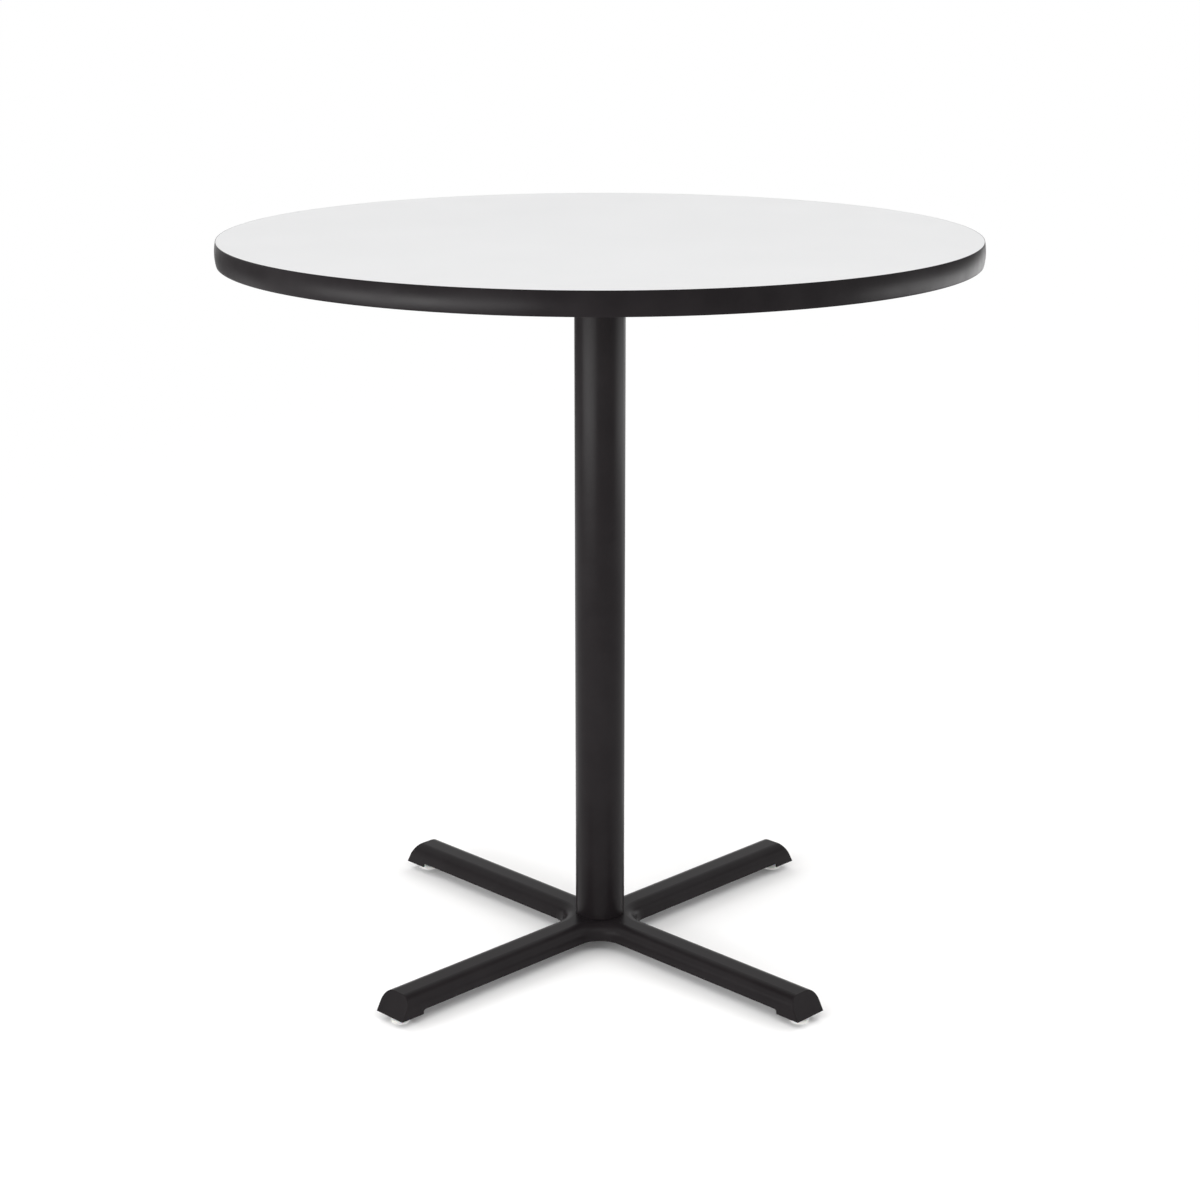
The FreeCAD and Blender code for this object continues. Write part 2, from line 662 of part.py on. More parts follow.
def glide(corner, angle):
    """One levelling glide: strap and weld nut in the leg, threaded stem with wrench hex, nylon pad."""
    strap = new_body(f"glide_plate_{corner}", PLATE_BOTTOM, angle, GLIDE_STATION)
    section = new_sketch(strap, "section")
    rectangle(section, "Dims.plate_length", INNER_WIDTH)
    circle(section, "hole", f"{STEM_RADIUS} + Dims.stem_hole_clearance")
    pad(strap, section, "Dims.plate_thickness")

    name = f"glide_nut_{corner}"
    nut(name, "Dims.glide_nut_flats", "Dims.glide_nut_height", STEM_BORE, PLATE_TOP, angle, GLIDE_STATION)

    stem = new_body(f"glide_stem_{corner}", "0", angle, GLIDE_STATION)
    section = new_sketch(stem, "section", "XZ_Plane")
    outline(
        section,
        [
            ("0", "Dims.pad_floor"),
            ("Dims.foot_diameter / 2", "Dims.pad_floor"),
            ("Dims.foot_diameter / 2", FOOT_TOP),
            (STEM_RADIUS, FOOT_TOP),
            (STEM_RADIUS, f"{STEM_TOP} - Dims.stem_chamfer"),
            (f"{STEM_RADIUS} - Dims.stem_chamfer", STEM_TOP),
            ("0", STEM_TOP),
        ],
    )
    revolve(stem, section)
    hexagon(stem, "Dims.collar_flats", "Dims.collar_height", COLLAR_BOTTOM)

    pad_body = new_body(f"glide_pad_{corner}", "0", angle, GLIDE_STATION)
    section = new_sketch(pad_body, "section", "XZ_Plane")
    rim = "(Dims.pad_diameter / 2)"
    chamber = "(Dims.foot_diameter / 2 + Dims.stem_fit)"
    outline(
        section,
        [
            ("0", "0"),
            (f"{rim} - Dims.pad_edge_round", "0"),
            (rim, "Dims.pad_edge_round"),
            (rim, "Dims.pad_rim_height"),
            (f"{STEM_BORE} + Dims.pad_neck_wall", PAD_HEIGHT),
            (STEM_BORE, PAD_HEIGHT),
            (STEM_BORE, f"{FOOT_TOP} + Dims.stem_fit"),
            (chamber, f"{FOOT_TOP} + Dims.stem_fit"),
            (chamber, "Dims.pad_floor"),
            ("0", "Dims.pad_floor"),
        ],
    )
    revolve(pad_body, section)


disc("top_laminate", BOARD_RADIUS, "Dims.laminate_thickness", BOARD_TOP)
top_board()
backing_sheet()
edge_moulding()
mounting_spider()
wood_screws()
column()
clamping_rod()
cross_base()
for corner, angle in CORNERS.items():
    glide(corner, angle)
doc.recompute()

for item in doc.Objects:
    if "Invalid" in item.State or "Error" in item.State:
        raise RuntimeError(f"{item.Label} failed: {item.State}")
for body in parts:
    if body.Shape.isNull() or not body.Shape.isValid():
        raise RuntimeError(f"{body.Label} has no valid shape")

os.makedirs("parts", exist_ok=True)
for body in parts:
    body.Shape.exportStep(f"parts/{body.Label}.step")
    print(f"{body.Label}: {len(body.Shape.Solids)} solids, {body.Shape.Volume:.1f} mm3")
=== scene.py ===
import math

import bmesh
import bpy
from mathutils import Matrix, Vector


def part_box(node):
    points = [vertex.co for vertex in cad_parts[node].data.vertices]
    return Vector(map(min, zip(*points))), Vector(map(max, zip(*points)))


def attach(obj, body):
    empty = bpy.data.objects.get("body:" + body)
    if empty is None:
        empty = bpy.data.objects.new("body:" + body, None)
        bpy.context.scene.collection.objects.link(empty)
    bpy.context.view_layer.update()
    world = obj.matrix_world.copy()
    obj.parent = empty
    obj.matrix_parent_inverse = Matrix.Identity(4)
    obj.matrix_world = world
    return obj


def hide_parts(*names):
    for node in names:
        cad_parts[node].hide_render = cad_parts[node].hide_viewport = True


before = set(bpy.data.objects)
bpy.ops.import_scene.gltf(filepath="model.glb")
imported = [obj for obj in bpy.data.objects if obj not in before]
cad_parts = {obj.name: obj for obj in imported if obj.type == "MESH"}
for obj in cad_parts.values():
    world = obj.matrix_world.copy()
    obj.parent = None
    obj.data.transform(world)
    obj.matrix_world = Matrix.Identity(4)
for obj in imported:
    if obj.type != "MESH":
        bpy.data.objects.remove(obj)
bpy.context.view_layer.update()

# Lengths are in metres and angles in degrees, unless a comment says otherwise
MM = 0.001
INCH = 25.4 * MM
FULL_TURN = 360.0
QUARTER_TURN = FULL_TURN / 4
HEXAGON_STEP = FULL_TURN / 6
CORNERS = ("front_left", "front_right", "back_left", "back_right")
DIAGONALS = (45.0, 135.0, 225.0, 315.0)
WHITE = (1.0, 1.0, 1.0, 1.0)

# Faces that meet at less than this angle are shaded as one
SMOOTH_ANGLE = 32.0

# Camera: the photograph's viewpoint, with lens and sensor in millimetres
CAMERA_PLACE = (0.0, -3.2745, 1.4745)
CAMERA_PITCH = 16.009
CAMERA_LENS = 70.0
CAMERA_SENSOR = 36.0

# Floor: a hair below the pads; light that starts within the contact length passes through it
FLOOR_HALF = 60.0
FLOOR_GAP = 0.2 * MM
FLOOR_CONTACT = 2.0 * MM

# Lamps: all below the top, so the laminate keeps its plain tone
BAND_AIM = (0.0, 0.0, 1.05)
STRIP_DISTANCE = 0.95
STRIP_HEIGHT = 1.0
WIDE_BEAM = 180.0

# Cards that mirror in the table: how far off they stand at the sides and at the back
CARD_SIDE = 2.5
CARD_BACK = 3.5

# Table top
TOP_SEGMENTS = 256
EASE_STEPS = 4
LAMINATE_EASE = 0.25 * MM
BAND_DEPTH = 2.3 * MM
BAND_LIP = 0.5 * MM
BAND_LIP_ROUND = 0.3 * MM
BAND_LIP_ANGLE = 20.0
BAND_LIP_STEPS = 3
BAND_DOME_STEPS = 20
BAND_SEAM = 0.35 * MM
BAND_SEAM_ANGLE = 90.0
TONGUE_THICKNESS = 1.6 * MM
TONGUE_LENGTH = 10.0 * MM
BARB_PITCH = 2.6 * MM
BARB_HEIGHT = 0.6 * MM
BARBS = 3

# Spider
CASTING_ROUND = 1.2 * MM

# Screws that hold the spider; the crown is the flat share of a head's radius
SCREW_STATIONS = (120.0 * MM, 200.0 * MM)
SCREW_RADIUS = 2.5 * MM
SCREW_HEAD_RADIUS = 5.0 * MM
SCREW_HEAD_HEIGHT = 3.4 * MM
SCREW_CROWN = 0.55
SCREW_ROUND = 1.6 * MM
SCREW_ROUND_HEIGHT = 1.7 * MM
SCREW_ROUND_START = -65.0
SCREW_ROUND_STEPS = 5
SCREW_HEAD_EASE = 0.2 * MM
SCREW_SHANK = 8.0 * MM
SCREW_POINT = 5.0 * MM
SCREW_PITCH = 2.1 * MM
SCREW_THREAD = 0.7 * MM
SCREW_SEGMENTS = 48
RECESS_LENGTH = 5.2 * MM
RECESS_WIDTH = 1.3 * MM
RECESS_DEPTH = 1.8 * MM
RECESS_TAPER = 0.55

# Threads: rows to a pitch, how steep the flanks are, and what keeps the crests flat
THREAD_ROWS = 10
THREAD_FLANK = 1.35
THREAD_CREST = 0.175

# Column and rod
COLUMN_SEGMENTS = 160
COLUMN_WALL = 2.0 * MM
COLUMN_END_ROUND = 0.6 * MM
ROD_PITCH = INCH / 13
ROD_THREAD = 1.0 * MM
ROD_THREAD_LENGTH = 45.0 * MM
ROD_CHAMFER = 1.2 * MM
ROD_SEGMENTS = 48

# Levelling glides
GLIDE_SEGMENTS = 72
PAD_ROUND = 1.4 * MM
PAD_ROUND_STEPS = 6
PAD_RIM = 5.0 * MM
PAD_RIM_ANGLE = 60.0
PAD_RIM_STEPS = 5
PAD_NECK_WALL = 3.2 * MM
PAD_NECK_ROUND = 1.0 * MM
PAD_NECK_ANGLE = 40.0
PAD_FLOOR = 3.0 * MM
PAD_SCUFF = 2.0 * MM
FOOT_RADIUS = 6.0 * MM
FOOT_HEIGHT = 2.6 * MM
STEM_RADIUS = 9.525 / 2 * MM
STEM_FIT = 0.05 * MM
STEM_PITCH = INCH / 16
STEM_THREAD = 0.85 * MM
STEM_CHAMFER = 0.8 * MM
COLLAR_LOW = 10.0 * MM
COLLAR_HIGH = 16.0 * MM
COLLAR_HALF_FLATS = 6.35 * MM
COLLAR_CHAMFER = 0.7 * MM

# Welds inside the base; the ripple is a share of the bead's radius
WELD_RADIUS = 1.9 * MM
WELD_RIPPLE = 0.14
WELD_RIPPLE_PITCH = 2.4 * MM
WELD_STEP = 0.6 * MM
WELD_SIDES = 10
WELD_TAPER = 3.0 * MM
WELD_SINK = WELD_RADIUS / 2
STRAP_WELD_MARGIN = 3.0 * MM
HUB_WELD_HALF_ANGLE = 24.0


def arc(centre, radius, start, end, steps):
    """Points of an arc in a lathe section, from one angle to another."""
    points = []
    for step in range(steps + 1):
        angle = math.radians(start + (end - start) * step / steps)
        points.append((centre[0] + radius * math.cos(angle), centre[1] + radius * math.sin(angle)))
    return points


def lathe(bm, section, segments, start=0.0, sweep=FULL_TURN):
    """Turn a closed section of (radius, height) points about the vertical axis.

    A radius may be a function of the angle, for threads and hexagons.
    """
    whole = sweep >= FULL_TURN
    count = segments if whole else segments + 1
    rings = []
    for radius, height in section:
        if radius == 0.0:
            rings.append([bm.verts.new((0.0, 0.0, height))] * count)
            continue
        ring = []
        for index in range(count):
            degrees = start + sweep * index / segments
            angle = math.radians(degrees)
            reach = radius(degrees) if callable(radius) else radius
            ring.append(bm.verts.new((reach * math.cos(angle), reach * math.sin(angle), height)))
        rings.append(ring)
    for ring, after in zip(rings, rings[1:] + rings[:1]):
        for index in range(segments):
            beside = (index + 1) % count
            corners = dict.fromkeys((ring[index], ring[beside], after[beside], after[index]))
            if len(corners) > 2:
                bm.faces.new(corners)
    if not whole:
        bm.faces.new([ring[0] for ring in rings])
        bm.faces.new([ring[-1] for ring in reversed(rings)])


def thread(radius, depth, pitch, low, high):
    """Lathe points of a right-hand thread between two heights, running out at both ends."""

    def ring(height):
        fade = min(1.0, (height - low) / pitch, (high - height) / pitch)

        def reach(degrees):
            share = (height / pitch - degrees / FULL_TURN) % 1.0
            wave = 1.0 - abs(2.0 * share - 1.0)
            groove = min(1.0, max(0.0, THREAD_FLANK * wave - THREAD_CREST))
            return radius - depth * fade * groove

        return reach, height

    rows = round((high - low) / pitch * THREAD_ROWS)
    return [ring(low + (high - low) * row / rows) for row in range(rows + 1)]


def hexagon(half_flats, limit=math.inf):
    """Lathe radius of a hexagon, cut off at a round limit if one is given."""

    def reach(degrees):
        from_flat = degrees % HEXAGON_STEP - HEXAGON_STEP / 2
        return min(half_flats / math.cos(math.radians(from_flat)), limit)

    return reach


def bead(bm, path):
    """A rippled weld bead along a path of points, tapered at both ends."""
    length = sum((after - point).length for point, after in zip(path, path[1:]))
    rings = []
    run = 0.0
    for index, point in enumerate(path):
        before = path[max(index - 1, 0)]
        after = path[min(index + 1, len(path) - 1)]
        if index:
            run += (point - before).length
        if index in (0, len(path) - 1):
            rings.append([bm.verts.new(point)] * WELD_SIDES)
            continue
        along = (after - before).normalized()
        across = along.cross(Vector((0.0, 0.0, 1.0)))
        fade = min(1.0, math.sqrt(max(0.0, min(run, length - run) / WELD_TAPER)))
        ripple = 1.0 + WELD_RIPPLE * math.cos(math.tau * run / WELD_RIPPLE_PITCH)
        ring = []
        for side in range(WELD_SIDES):
            angle = math.tau * side / WELD_SIDES
            offset = across * math.cos(angle) + Vector((0.0, 0.0, math.sin(angle)))
            ring.append(bm.verts.new(point + offset * (WELD_RADIUS * fade * ripple)))
        rings.append(ring)
    for ring, after in zip(rings, rings[1:]):
        for side in range(WELD_SIDES):
            beside = (side + 1) % WELD_SIDES
            corners = dict.fromkeys((ring[side], ring[beside], after[beside], after[side]))
            bm.faces.new(corners)


def steps_between(start, end):
    """Points a weld step apart on a straight line."""
    count = round((end - start).length / WELD_STEP)
    return [start.lerp(end, step / count) for step in range(count + 1)]


def new_piece(name, bm):
    """A mesh object from bmesh data, shaded smooth between faces that meet at a small angle."""
    bmesh.ops.recalc_face_normals(bm, faces=bm.faces)
    mesh = bpy.data.meshes.new(name)
    bm.to_mesh(mesh)
    bm.free()
    mesh.shade_smooth()
    mesh.set_sharp_from_angle(angle=math.radians(SMOOTH_ANGLE))
    piece = bpy.data.objects.new(name, mesh)
    bpy.context.scene.collection.objects.link(piece)
    return piece


def dress(piece, material, body, slot, *nodes):
    """Give a piece its material and its body, and hide the CAD nodes that it stands for; the slot is not
    used.
    """
    piece.data.materials.append(material)
    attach(piece, body)
    if nodes:
        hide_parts(*nodes)


def finish_node(name, material):
    """Give a CAD node that stays in view its material."""
    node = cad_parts[name]
    if not node.material_slots:
        node.data.materials.append(material)
    for slot in node.material_slots:
        slot.material = material


def middle_of(name):
    """The middle of a CAD node's box, at floor level."""
    low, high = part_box(name)
    return Vector(((low.x + high.x) / 2, (low.y + high.y) / 2, 0.0))


def new_material(name, **sockets):
    """A material whose shader has the given constant values on its own sockets."""
    material = bpy.data.materials.new(name)
    material.use_nodes = True
    tree = material.node_tree
    shader = tree.nodes["Principled BSDF"]
    for socket, value in sockets.items():
        shader.inputs[socket.replace("_", " ")].default_value = value
    return material, tree, shader


def add(tree, kind, inputs=None, **settings):
    """A node with its settings, and its inputs set to values or linked to other nodes' outputs."""
    node = tree.nodes.new(kind)
    for name, value in settings.items():
        setattr(node, name, value)
    for name, value in (inputs or {}).items():
        if isinstance(value, bpy.types.NodeSocket):
            tree.links.new(value, node.inputs[name])
        else:
            node.inputs[name].default_value = value
    return node


def object_place(tree, stretch=(1.0, 1.0, 1.0)):
    """The place on the object in metres, stretched along its axes."""
    coordinates = add(tree, "ShaderNodeTexCoord")
    mapping = add(tree, "ShaderNodeMapping", {"Vector": coordinates.outputs["Object"], "Scale": stretch})
    return mapping.outputs["Vector"]


def noise(tree, place, scale, detail, roughness=0.55, distortion=0.0):
    """Soft noise with a number of features to the metre."""
    inputs = {"Vector": place, "Scale": scale, "Detail": detail}
    inputs.update({"Roughness": roughness, "Distortion": distortion})
    return add(tree, "ShaderNodeTexNoise", inputs).outputs["Fac"]


def cells(tree, place, scale, feature="F1"):
    """Distance to the nearest cell point, with a number of cells to the metre."""
    inputs = {"Vector": place, "Scale": scale}
    return add(tree, "ShaderNodeTexVoronoi", inputs, feature=feature).outputs["Distance"]


def blend(tree, first, second, share):
    """Two values mixed, with a share of the second."""
    node = add(tree, "ShaderNodeMix", {"Factor": share, "A": first, "B": second}, data_type="FLOAT")
    return node.outputs["Result"]


def combine(tree, first, operation, second):
    """Two values put together by the named operation."""
    return add(tree, "ShaderNodeMath", {0: first, 1: second}, operation=operation).outputs["Value"]


def ramp(tree, value, *stops):
    """Colours at places along a value from 0 to 1."""
    node = add(tree, "ShaderNodeValToRGB", {"Fac": value})
    elements = node.color_ramp.elements
    while len(elements) < len(stops):
        elements.new(position=0.5)
    for element, (position, colour) in zip(elements, stops):
        element.position = position
        element.color = (*colour, 1.0)
    return node.outputs["Color"]


def spread(tree, value, low, high, start=0.3, end=0.7):
    """A value mapped from one range to another."""
    inputs = {"Value": value, "From Min": start, "From Max": end, "To Min": low, "To Max": high}
    return add(tree, "ShaderNodeMapRange", inputs).outputs["Result"]


def bump(tree, height, depth, strength, under=None):
    """A bumped normal whose hills are so deep, on top of another normal if there is one."""
    inputs = {"Height": height, "Distance": depth, "Strength": strength}
    if under is not None:
        inputs["Normal"] = under
    return add(tree, "ShaderNodeBump", inputs).outputs["Normal"]


def connect(tree, shader, **links):
    """Link outputs to the shader's sockets."""
    for socket, output in links.items():
        tree.links.new(output, shader.inputs[socket.replace("_", " ")])


def laminate():
    """Pale high-pressure laminate: fine pebbled texture, faint mottling and a soft sheen."""
    material, tree, shader = new_material("pale_laminate", Specular_IOR_Level=0.3)
    place = object_place(tree)
    grain = noise(tree, place, scale=2600.0, detail=2.0)
    mottle = noise(tree, place, scale=9.0, detail=4.0)
    fleck = blend(tree, grain, mottle, share=0.35)
    pebble = cells(tree, place, scale=1400.0, feature="SMOOTH_F1")
    colour = ramp(tree, fleck, (0.3, (0.815, 0.817, 0.822)), (0.7, (0.858, 0.859, 0.862)))
    rough = spread(tree, mottle, low=0.42, high=0.5)
    normal = bump(tree, pebble, depth=0.05 * MM, strength=0.35)
    connect(tree, shader, Base_Color=colour, Roughness=rough, Normal=normal)
    return material


def edge_vinyl():
    """Black extruded vinyl: faint die lines along the extrusion and a satin skin."""
    material, tree, shader = new_material("black_vinyl", Specular_IOR_Level=0.085)
    place = object_place(tree)
    lines = noise(tree, object_place(tree, stretch=(1.0, 1.0, 60.0)), scale=30.0, detail=2.0)
    skin = noise(tree, place, scale=900.0, detail=3.0)
    wear = noise(tree, place, scale=22.0, detail=4.0)
    colour = ramp(tree, wear, (0.35, (0.0088, 0.0072, 0.0080)), (0.7, (0.0118, 0.0099, 0.0108)))
    rough = spread(tree, wear, low=0.3, high=0.38)
    normal = bump(tree, skin, depth=0.02 * MM, strength=0.3)
    normal = bump(tree, lines, depth=0.03 * MM, strength=0.25, under=normal)
    connect(tree, shader, Base_Color=colour, Roughness=rough, Normal=normal)
    return material


def powder_coat():
    """Black powder coat on steel: fine orange peel and small changes of gloss."""
    material, tree, shader = new_material("black_powder_coat", Specular_IOR_Level=0.085)
    place = object_place(tree)
    peel = noise(tree, place, scale=420.0, detail=2.0, roughness=0.5)
    grit = noise(tree, place, scale=2400.0, detail=2.0, roughness=0.6)
    cloud = noise(tree, place, scale=14.0, detail=4.0)
    colour = ramp(tree, cloud, (0.35, (0.0101, 0.0084, 0.0092)), (0.7, (0.0131, 0.0112, 0.0121)))
    rough = spread(tree, cloud, low=0.3, high=0.36)
    normal = bump(tree, peel, depth=0.06 * MM, strength=0.4)
    normal = bump(tree, grit, depth=0.02 * MM, strength=0.25, under=normal)
    connect(tree, shader, Base_Color=colour, Roughness=rough, Normal=normal)
    return material


def cast_paint():
    """Thin black paint on a rough sand casting with softened edges."""
    material, tree, shader = new_material("painted_casting", Specular_IOR_Level=0.3)
    place = object_place(tree)
    sand = noise(tree, place, scale=650.0, detail=5.0, roughness=0.7)
    lumps = noise(tree, place, scale=90.0, detail=3.0)
    colour = ramp(tree, sand, (0.3, (0.009, 0.009, 0.009)), (0.75, (0.021, 0.02, 0.02)))
    rough = spread(tree, sand, low=0.5, high=0.7)
    normal = add(tree, "ShaderNodeBevel", {"Radius": CASTING_ROUND}).outputs["Normal"]
    normal = bump(tree, lumps, depth=0.8 * MM, strength=0.4, under=normal)
    normal = bump(tree, sand, depth=0.25 * MM, strength=0.7, under=normal)
    connect(tree, shader, Base_Color=colour, Roughness=rough, Normal=normal)
    return material


def zinc_plate():
    """Bright zinc plating with a faint warm and blue cast and fine turning marks."""
    material, tree, shader = new_material("zinc_plate", Metallic=1.0)
    cast = noise(tree, object_place(tree), scale=60.0, detail=3.0)
    marks = noise(tree, object_place(tree, stretch=(1.0, 1.0, 14.0)), scale=500.0, detail=2.0)
    stops = ((0.3, (0.50, 0.52, 0.56)), (0.55, (0.58, 0.58, 0.58)), (0.75, (0.60, 0.57, 0.50)))
    colour = ramp(tree, cast, *stops)
    rough = spread(tree, marks, low=0.26, high=0.42)
    normal = bump(tree, marks, depth=0.03 * MM, strength=0.3)
    connect(tree, shader, Base_Color=colour, Roughness=rough, Normal=normal)
    return material


def nylon():
    """White moulded nylon, a little translucent, scuffed where it meets the floor."""
    material, tree, shader = new_material(
        "white_nylon", Specular_IOR_Level=0.45, Subsurface_Weight=0.12, Subsurface_Scale=2.0 * MM
    )
    place = object_place(tree)
    height = add(tree, "ShaderNodeSeparateXYZ", {"Vector": place}).outputs["Z"]
    scuff = noise(tree, place, scale=500.0, detail=4.0, roughness=0.7)
    near_floor = spread(tree, height, low=1.0, high=0.0, start=0.0, end=PAD_SCUFF)
    dirt = combine(tree, near_floor, "MULTIPLY", scuff)
    colour = ramp(tree, dirt, (0.25, (0.82, 0.815, 0.80)), (0.8, (0.48, 0.46, 0.43)))
    rough = spread(tree, scuff, low=0.38, high=0.52)
    normal = bump(tree, scuff, depth=0.05 * MM, strength=0.3)
    connect(tree, shader, Base_Color=colour, Roughness=rough, Normal=normal)
    return material


def backing_paper():
    """Brown phenolic backing sheet with paper fibres."""
    material, tree, shader = new_material("phenolic_backer", Specular_IOR_Level=0.3)
    weave = object_place(tree, stretch=(1.0, 6.0, 1.0))
    fibres = noise(tree, weave, scale=260.0, detail=5.0, roughness=0.65, distortion=0.6)
    cloud = noise(tree, object_place(tree), scale=7.0, detail=4.0)
    tone = blend(tree, fibres, cloud, share=0.4)
    colour = ramp(tree, tone, (0.3, (0.075, 0.052, 0.034)), (0.7, (0.135, 0.097, 0.064)))
    rough = spread(tree, fibres, low=0.5, high=0.68)
    normal = bump(tree, fibres, depth=0.06 * MM, strength=0.4)
    connect(tree, shader, Base_Color=colour, Roughness=rough, Normal=normal)
    return material


def particleboard():
    """Raw particleboard: pressed chips of several browns."""
    material, tree, shader = new_material("particleboard", Specular_IOR_Level=0.2, Roughness=0.85)
    place = object_place(tree, stretch=(1.0, 1.0, 2.5))
    flakes = cells(tree, place, scale=330.0)
    dust = noise(tree, place, scale=900.0, detail=4.0)
    chips = blend(tree, flakes, dust, share=0.5)
    colour = ramp(tree, chips, (0.25, (0.32, 0.21, 0.12)), (0.7, (0.56, 0.41, 0.25)))
    normal = bump(tree, chips, depth=0.3 * MM, strength=0.6)
    connect(tree, shader, Base_Color=colour, Normal=normal)
    return material


def laminate_sheet(material):
    """The laminate disc, its rim eased where it meets the band."""
    low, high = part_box("top_laminate")
    ease = LAMINATE_EASE
    section = [(0.0, high.z)]
    section += arc((high.x - ease, high.z - ease), ease, QUARTER_TURN, 0.0, EASE_STEPS)
    section += [(high.x, low.z), (0.0, low.z)]
    bm = bmesh.new()
    lathe(bm, section, TOP_SEGMENTS)
    dress(new_piece("laminate_sheet", bm), material, "table", "laminate", "top_laminate")


def edge_moulding(material):
    """The domed edge moulding with its barbed tongue, and the butt joint of its two ends at the back."""
    low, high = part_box("edge_band")
    inner = high.x - BAND_DEPTH
    lip = inner + BAND_LIP
    lip_centre = lip - BAND_LIP_ROUND
    thickness = high.z - low.z
    middle = low.z + thickness / 2
    under = middle - TONGUE_THICKNESS / 2
    over = middle + TONGUE_THICKNESS / 2
    tip = inner - TONGUE_LENGTH
    crests = [tip + (barb + 1) * BARB_PITCH for barb in range(BARBS)]
    section = [(tip, under)]
    for crest in crests:
        section += [(crest, under - BARB_HEIGHT), (crest, under)]
    section += [(inner, under), (inner, low.z)]
    centre = (lip_centre, low.z + BAND_LIP_ROUND)
    section += arc(centre, BAND_LIP_ROUND, -QUARTER_TURN, -BAND_LIP_ANGLE, BAND_LIP_STEPS)
    for step in range(1, BAND_DOME_STEPS):
        share = step / BAND_DOME_STEPS
        dome = (high.x - lip) * (1.0 - (2.0 * share - 1.0) ** 2)
        section.append((lip + dome, low.z + thickness * share))
    centre = (lip_centre, high.z - BAND_LIP_ROUND)
    section += arc(centre, BAND_LIP_ROUND, BAND_LIP_ANGLE, QUARTER_TURN, BAND_LIP_STEPS)
    section += [(inner, high.z), (inner, over)]
    for crest in reversed(crests):
        section += [(crest, over), (crest, over + BARB_HEIGHT)]
    section.append((tip, over))
    gap = math.degrees(BAND_SEAM / high.x)
    bm = bmesh.new()
    lathe(bm, section, TOP_SEGMENTS, BAND_SEAM_ANGLE + gap / 2, FULL_TURN - gap)
    dress(new_piece("edge_moulding", bm), material, "table", "edge_band", "edge_band")


def cross_recess(screw):
    """Cut a tapered cross into the underside of a screw's head, which is at height 0."""
    bm = bmesh.new()
    for turn in (0.0, QUARTER_TURN):
        blade = bmesh.ops.create_cube(bm, size=1.0)["verts"]
        size = Matrix.Diagonal((RECESS_LENGTH, RECESS_WIDTH, 2.0 * RECESS_DEPTH, 1.0))
        bmesh.ops.transform(bm, matrix=size, verts=blade)
        for vertex in blade:
            if vertex.co.z > 0.0:
                vertex.co.x *= RECESS_TAPER
                vertex.co.y *= RECESS_TAPER
        bmesh.ops.rotate(bm, matrix=Matrix.Rotation(math.radians(turn), 3, "Z"), verts=blade)
    cutter = new_piece("recess_cutter", bm)
    cut = screw.modifiers.new("recess", "BOOLEAN")
    cut.operation = "DIFFERENCE"
    cut.solver = "EXACT"
    cut.use_self = True
    cut.object = cutter
    evaluated = screw.evaluated_get(bpy.context.evaluated_depsgraph_get())
    mesh = bpy.data.meshes.new_from_object(evaluated)
    bpy.data.objects.remove(cutter)
    bpy.data.objects.remove(screw)
    return mesh


def spider_screws(material):
    """Eight pan-head wood screws with cross recesses, up through the spider's arms."""
    low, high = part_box("spider_screws")
    length = high.z - low.z
    head = SCREW_HEAD_RADIUS
    top = SCREW_HEAD_HEIGHT
    section = [(0.0, 0.0), (head * SCREW_CROWN, 0.0)]
    centre = (head - SCREW_ROUND, SCREW_ROUND_HEIGHT)
    section += arc(centre, SCREW_ROUND, SCREW_ROUND_START, 0.0, SCREW_ROUND_STEPS)
    section += [(head, top - SCREW_HEAD_EASE), (head - SCREW_HEAD_EASE, top), (SCREW_RADIUS, top)]
    section += thread(SCREW_RADIUS, SCREW_THREAD, SCREW_PITCH, top + SCREW_SHANK, length - SCREW_POINT)
    section += [(0.0, length)]
    bm = bmesh.new()
    lathe(bm, section, SCREW_SEGMENTS)
    screw = cross_recess(new_piece("screw", bm))
    bm = bmesh.new()
    for angle in DIAGONALS:
        for station in SCREW_STATIONS:
            first = len(bm.verts)
            bm.from_mesh(screw)
            bm.verts.ensure_lookup_table()
            place = Matrix.Translation((station, 0.0, low.z))
            arm = Matrix.Rotation(math.radians(angle), 4, "Z")
            # Each screw stops at a turn of its own
            twist = Matrix.Rotation(station * angle, 4, "Z")
            bmesh.ops.transform(bm, matrix=arm @ place @ twist, verts=bm.verts[first:])
    bpy.data.meshes.remove(screw)
    dress(new_piece("pan_screws", bm), material, "table", "zinc_steel", "spider_screws")


def column(material):
    """The column tube with its cut ends eased."""
    low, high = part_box("column_tube")
    bore = high.x - COLUMN_WALL
    ease = COLUMN_END_ROUND
    section = [(bore, low.z)]
    section += arc((high.x - ease, low.z + ease), ease, -QUARTER_TURN, 0.0, EASE_STEPS)
    section += arc((high.x - ease, high.z - ease), ease, 0.0, QUARTER_TURN, EASE_STEPS)
    section += [(bore, high.z)]
    bm = bmesh.new()
    lathe(bm, section, COLUMN_SEGMENTS)
    dress(new_piece("column", bm), material, "table", "black_coat", "column_tube")


def tie_rod(material):
    """The rod inside the column, threaded at both ends."""
    low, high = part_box("tie_rod")
    radius = high.x
    foot = low.z + ROD_CHAMFER
    head = high.z - ROD_CHAMFER
    section = [(0.0, low.z), (radius - ROD_CHAMFER, low.z)]
    section += thread(radius, ROD_THREAD, ROD_PITCH, foot, foot + ROD_THREAD_LENGTH)
    section += thread(radius, ROD_THREAD, ROD_PITCH, head - ROD_THREAD_LENGTH, head)
    section += [(radius - ROD_CHAMFER, high.z), (0.0, high.z)]
    bm = bmesh.new()
    lathe(bm, section, ROD_SEGMENTS)
    dress(new_piece("threaded_rod", bm), material, "table", "zinc_steel", "tie_rod")


